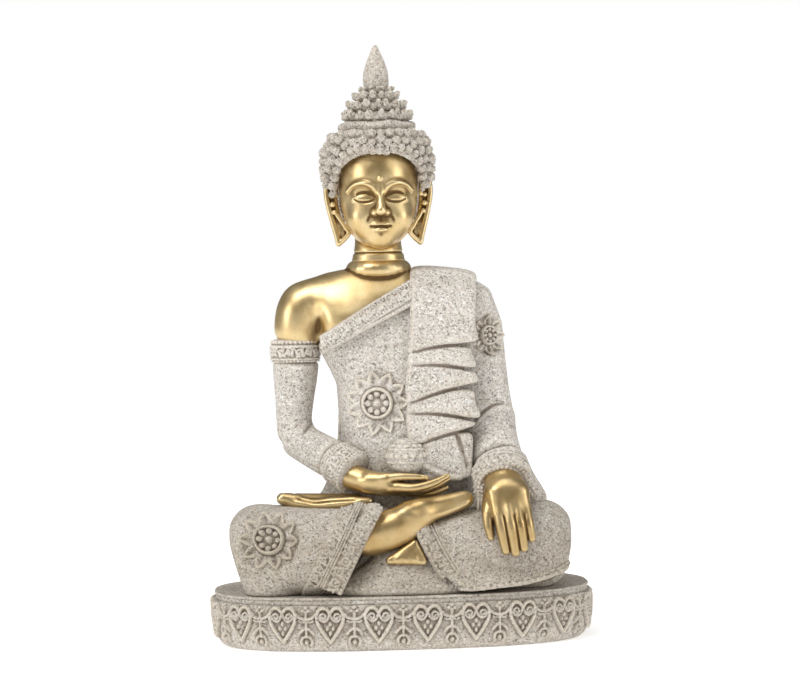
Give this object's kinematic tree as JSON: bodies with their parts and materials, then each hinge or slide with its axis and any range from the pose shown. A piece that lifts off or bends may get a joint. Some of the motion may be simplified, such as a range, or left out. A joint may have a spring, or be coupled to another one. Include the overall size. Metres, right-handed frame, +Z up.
{
  "type": "seated buddha statue",
  "caption": "Seated meditating figure in a robe with gold-painted skin, cast in stone-effect resin on an oval carved plinth.",
  "frame": {"origin": "middle of the plinth's flat underside, at the surface it stands on", "axes": "+Z up, -Y the way the figure faces, +X to the figure's own left"},
  "size_m": [0.1368, 0.077, 0.2135],
  "materials": {
    "cast_stone": "matte",
    "pale_trim": "matte",
    "gold_paint": "satin"
  },
  "bodies": {
    "root": {"alms_bowl": "pale_trim", "armband_right": "pale_trim", "bare_shoulder": "gold_paint", "crossed_shin": "gold_paint", "cuff_left": "pale_trim", "cuff_right": "pale_trim", "ear_left": "gold_paint", "ear_right": "gold_paint", "finial": "cast_stone", "flower_chest": "pale_trim", "flower_knee": "pale_trim", "flower_shoulder": "pale_trim", "hair_cap": "cast_stone", "hand_left": "gold_paint", "hand_right": "gold_paint", "head": "gold_paint", "hem_left_leg": "pale_trim", "hem_right_leg": "pale_trim", "lap_cloth": "cast_stone", "neck": "gold_paint", "neckline_border": "pale_trim", "plinth_frieze": "cast_stone", "raised_foot": "gold_paint", "robe_hips": "cast_stone", "robe_left_leg": "cast_stone", "robe_right_leg": "cast_stone", "robe_side_hem": "pale_trim", "robe_torso": "cast_stone", "shawl_back": "cast_stone", "shawl_front": "cast_stone", "sleeve_left_lower": "cast_stone", "sleeve_left_upper": "cast_stone", "sleeve_right_lower": "cast_stone", "sleeve_right_upper": "cast_stone", "top_slab": "cast_stone", "topknot": "cast_stone", "tucked_shin": "gold_paint"}
  },
  "joints": []
}
